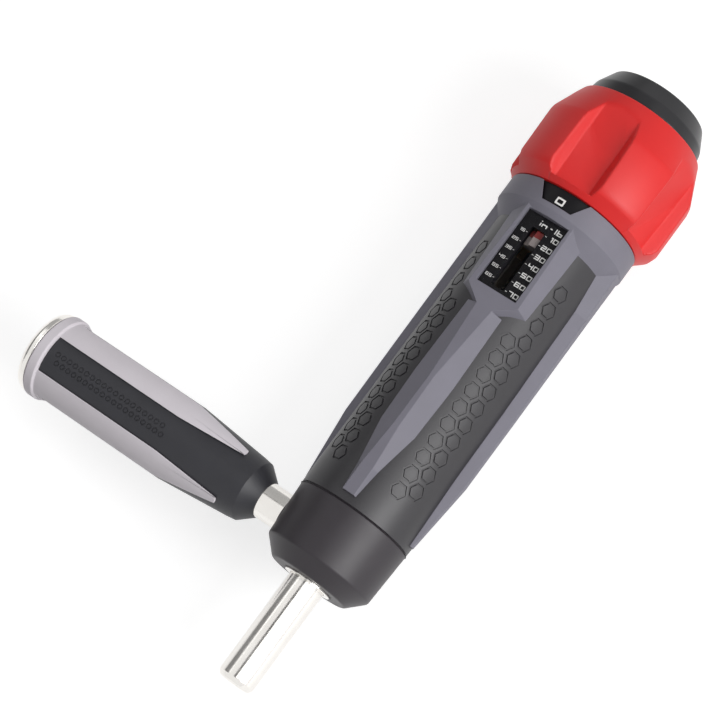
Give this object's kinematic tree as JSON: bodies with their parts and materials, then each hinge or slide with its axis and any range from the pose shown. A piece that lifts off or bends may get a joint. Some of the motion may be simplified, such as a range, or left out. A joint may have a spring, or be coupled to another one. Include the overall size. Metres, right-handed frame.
{
  "type": "torque screwdriver",
  "caption": "Micrometer torque screwdriver: socket shank, collar, ribbed two-shot grip with scale window, faceted setting knob, lock cap and a screw-in side handle.",
  "frame": {"origin": "centre of the bit socket's mouth, on the main axis", "axes": "+Y along the main axis from the bit socket to the lock cap, -X along the side handle, +Z out of the scale window"},
  "size_m": [0.1347, 0.2104, 0.0497],
  "materials": {
    "nickel_steel": "nickel plated, satin polished",
    "magnet": "plated",
    "spring_steel": "oiled",
    "hard_steel": "ground",
    "machined_steel": "turned",
    "brass": "turned",
    "black_collar": "fine matt",
    "black_plastic": "soft sheen",
    "black_rubber": "soft sheen",
    "grey_rubber": "matt",
    "light_grey_rubber": "matt",
    "red_plastic": "fine matt",
    "red_pointer": "gloss",
    "black_print": "printed",
    "clear_lens": "clear moulded plastic"
  },
  "bodies": {
    "grip": {"nose_bush": "nickel_steel", "nose_collar": "black_collar", "thrust_washer": "hard_steel", "barrel": "machined_steel", "grip_core": "black_plastic", "grip_overmould": "grey_rubber", "scale_plate": "black_print", "scale_window": "clear_lens", "bearing_plate": "machined_steel", "rear_washer": "brass", "main_spring": "spring_steel"},
    "spindle": {"bit_holder": "nickel_steel", "bit_magnet": "magnet", "bit_snap_ring": "spring_steel", "clutch_cam": "hard_steel", "cam_pin": "hard_steel"},
    "clutch": {"clutch_plate": "hard_steel"},
    "setting": {"adjusting_nut": "brass", "pointer": "red_pointer"},
    "setting_knob": {"knob": "red_plastic", "dial_ring": "black_print", "lead_screw": "machined_steel", "knob_screw": "machined_steel", "knob_washer": "machined_steel"},
    "lock": {"lock_cap": "black_plastic"},
    "side_handle": {"side_rod": "nickel_steel", "side_grip_core": "black_rubber", "side_grip_overmould": "light_grey_rubber", "side_end_cap": "nickel_steel"}
  },
  "joints": [
    {"name": "knob_turn", "type": "hinge", "parent": "grip", "child": "setting_knob", "pos_m": [0, 0.18, 0], "axis": [0, -1, 0], "range_deg": [0, 2160]},
    {"name": "pointer_slide", "type": "slide", "parent": "grip", "child": "setting", "axis": [0, -1, 0], "range_m": [0, 0.0207], "deforming": ["main_spring"]},
    {"name": "lock_turn", "type": "hinge", "parent": "setting_knob", "child": "lock", "pos_m": [0, 0.2, 0], "axis": [0, -1, 0], "range_deg": [0, 90]},
    {"name": "spindle_spin", "type": "hinge", "parent": "grip", "child": "spindle", "pos_m": [0, 0.06, 0], "axis": [0, 1, 0], "continuous": true},
    {"name": "clutch_lift", "type": "slide", "parent": "grip", "child": "clutch", "axis": [0, 1, 0], "range_m": [0, 0.0014], "stiffness_N_per_m": 5000},
    {"name": "side_handle_out", "type": "slide", "parent": "grip", "child": "side_handle", "axis": [-1, 0, 0], "range_m": [0, 0.0088]}
  ],
  "couplings": [
    {"joint": "pointer_slide", "follows": "knob_turn", "m_per_rad": 0.00054908}
  ]
}
